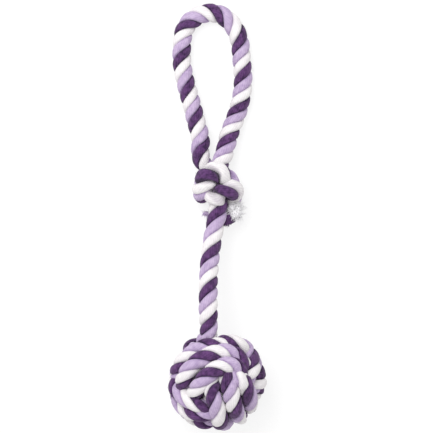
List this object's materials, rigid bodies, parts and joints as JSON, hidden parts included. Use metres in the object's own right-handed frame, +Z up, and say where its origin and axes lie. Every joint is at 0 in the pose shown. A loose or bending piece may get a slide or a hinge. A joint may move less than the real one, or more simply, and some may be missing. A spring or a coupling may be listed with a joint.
{
  "type": "rope dog toy",
  "caption": "Dog toy of laid cotton rope: a woven rope ball on a short shank, a tight knot and a hand loop to hold or throw it by.",
  "frame": {"origin": "middle of the toy's footprint, on the surface it lies on", "axes": "+Y from the ball towards the hand loop, +Z up off the surface, +X to the right when seen from above with the hand loop at the top"},
  "size_m": [0.0682, 0.3028, 0.0655],
  "materials": {
    "rope_cotton": "soft matt laid cotton, three colours",
    "cotton_purple": "soft matt cotton, mottled",
    "cotton_lilac": "soft matt cotton, mottled",
    "cotton_white": "soft matt cotton"
  },
  "bodies": {
    "ball": {"ball_winding": "rope_cotton", "ball_core": "cotton_white"},
    "shank_lower": {"shank_lower": "rope_cotton"},
    "shank_middle": {"shank_middle": "rope_cotton"},
    "shank_upper": {"shank_upper": "rope_cotton"},
    "knot": {"knot_standing_part": "rope_cotton", "knot_wrap": "rope_cotton", "tail_white": "cotton_white", "tail_purple": "cotton_purple", "tail_lilac": "cotton_lilac"},
    "handle": {"handle_loop": "rope_cotton"}
  },
  "joints": [
    {"name": "ball_nod", "type": "hinge", "parent": "ball", "child": "shank_lower", "pos_m": [-0.0051, -0.07278, 0.0378], "axis": [1, 0, 0], "range_deg": [-40, 40]},
    {"name": "shank_bend_lower", "type": "hinge", "parent": "shank_lower", "child": "shank_middle", "pos_m": [-0.00487, -0.05198, 0.03531], "axis": [0, 0, 1], "range_deg": [-25, 25]},
    {"name": "shank_bend_upper", "type": "hinge", "parent": "shank_middle", "child": "shank_upper", "pos_m": [-0.0034, -0.03237, 0.02761], "axis": [0, 0, 1], "range_deg": [-25, 25]},
    {"name": "knot_nod", "type": "hinge", "parent": "shank_upper", "child": "knot", "pos_m": [-0.00132, -0.01238, 0.02123], "axis": [1, 0, 0], "range_deg": [-35, 35]},
    {"name": "handle_fold", "type": "hinge", "parent": "knot", "child": "handle", "pos_m": [-0.00173, 0.04514, 0.0086], "axis": [0.9893, 0, 0.1457], "range_deg": [-35, 70]}
  ],
  "couplings": [
    {"joint": "shank_bend_upper", "follows": "shank_bend_lower", "ratio": 1}
  ]
}
